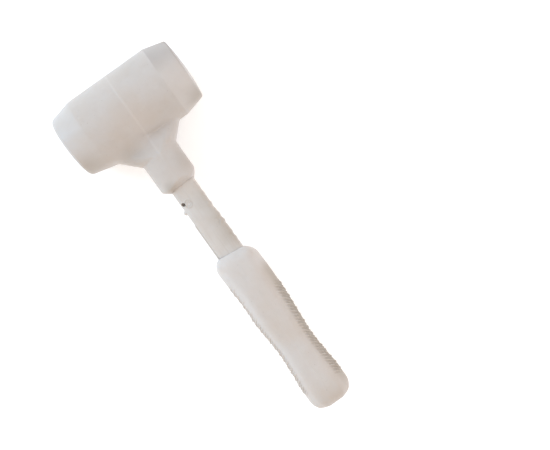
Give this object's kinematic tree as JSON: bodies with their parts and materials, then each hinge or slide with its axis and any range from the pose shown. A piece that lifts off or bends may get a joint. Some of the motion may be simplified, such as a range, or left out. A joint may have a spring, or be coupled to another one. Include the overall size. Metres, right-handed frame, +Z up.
{
  "type": "dead blow mallet",
  "caption": "Dead blow mallet: a round soft-faced polymer head holding a sliding charge of steel shot, on a steel-cored handle with a moulded grip.",
  "frame": {"origin": "on the surface the mallet lies on, below the middle of its length and width, where the side of its head touches", "axes": "+X along the head's axis to the right striking face, +Y along the handle from grip to head, +Z up out of the side of the mallet"},
  "size_m": [0.1002, 0.2803, 0.0544],
  "materials": {
    "head_polymer": "off-white moulded polymer, satin, slightly soft sheen",
    "handle_polymer": "off-white moulded polymer, satin, faint flow streaks",
    "grip_polymer": "off-white moulded polymer, satin, ribbed sides",
    "tube_steel": "drawn tube steel, dull",
    "core_steel": "bar steel, dull and dark",
    "shot_steel": "bright ball steel"
  },
  "bodies": {
    "mallet": {"head_casing": "head_polymer", "handle_shank": "handle_polymer", "grip_sleeve": "grip_polymer", "canister_tube": "tube_steel", "canister_cap_left": "tube_steel", "canister_cap_right": "tube_steel", "canister_saddle": "core_steel", "handle_core": "core_steel"},
    "shot_charge": {"shot_ball_01": "shot_steel", "shot_ball_02": "shot_steel", "shot_ball_03": "shot_steel", "shot_ball_04": "shot_steel", "shot_ball_05": "shot_steel", "shot_ball_06": "shot_steel", "shot_ball_07": "shot_steel", "shot_ball_08": "shot_steel", "shot_ball_09": "shot_steel", "shot_ball_10": "shot_steel", "shot_ball_11": "shot_steel", "shot_ball_12": "shot_steel", "shot_ball_13": "shot_steel", "shot_ball_14": "shot_steel", "shot_ball_15": "shot_steel", "shot_ball_16": "shot_steel", "shot_ball_17": "shot_steel", "shot_ball_18": "shot_steel", "shot_ball_19": "shot_steel", "shot_ball_20": "shot_steel", "shot_ball_21": "shot_steel", "shot_ball_22": "shot_steel", "shot_ball_23": "shot_steel", "shot_ball_24": "shot_steel", "shot_ball_25": "shot_steel", "shot_ball_26": "shot_steel", "shot_ball_27": "shot_steel", "shot_ball_28": "shot_steel", "shot_ball_29": "shot_steel", "shot_ball_30": "shot_steel", "shot_ball_31": "shot_steel", "shot_ball_32": "shot_steel", "shot_ball_33": "shot_steel", "shot_ball_34": "shot_steel", "shot_ball_35": "shot_steel"}
  },
  "joints": [
    {"name": "shot_travel", "type": "slide", "parent": "mallet", "child": "shot_charge", "axis": [1, 0, 0], "range_m": [-0.007, 0.007]}
  ]
}
